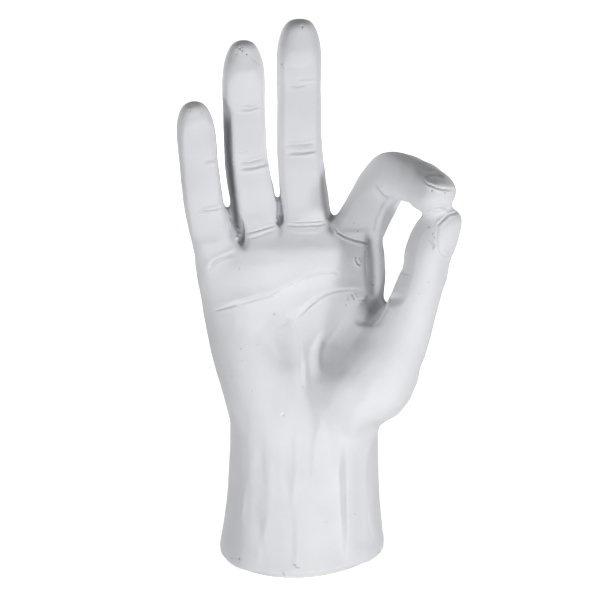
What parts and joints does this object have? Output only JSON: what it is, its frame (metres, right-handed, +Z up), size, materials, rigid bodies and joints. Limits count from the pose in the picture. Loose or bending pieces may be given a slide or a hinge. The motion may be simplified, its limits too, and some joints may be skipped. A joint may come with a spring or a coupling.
{
  "type": "ok hand sculpture",
  "caption": "Cast white hand ornament, right hand on a flared wrist, index finger and thumb tips joined in a ring, other fingers upright.",
  "frame": {"origin": "on the resting plane, under the middle of the foot", "axes": "+Z up along the wrist and fingers, the palm faces -Y, and +X runs to the thumb side"},
  "size_m": [0.147, 0.0805, 0.2997],
  "materials": {
    "plaster": "matt, unglazed, with pinholes and soft tool marks",
    "steel_wire": "drawn wire",
    "felt": "pressed felt"
  },
  "bodies": {
    "root": {"hand_casting": "plaster", "little_finger_wire": "steel_wire", "ring_finger_wire": "steel_wire", "middle_finger_wire": "steel_wire", "index_finger_wire": "steel_wire", "thumb_wire": "steel_wire", "base_plug": "plaster", "felt_pad": "felt"}
  },
  "joints": []
}
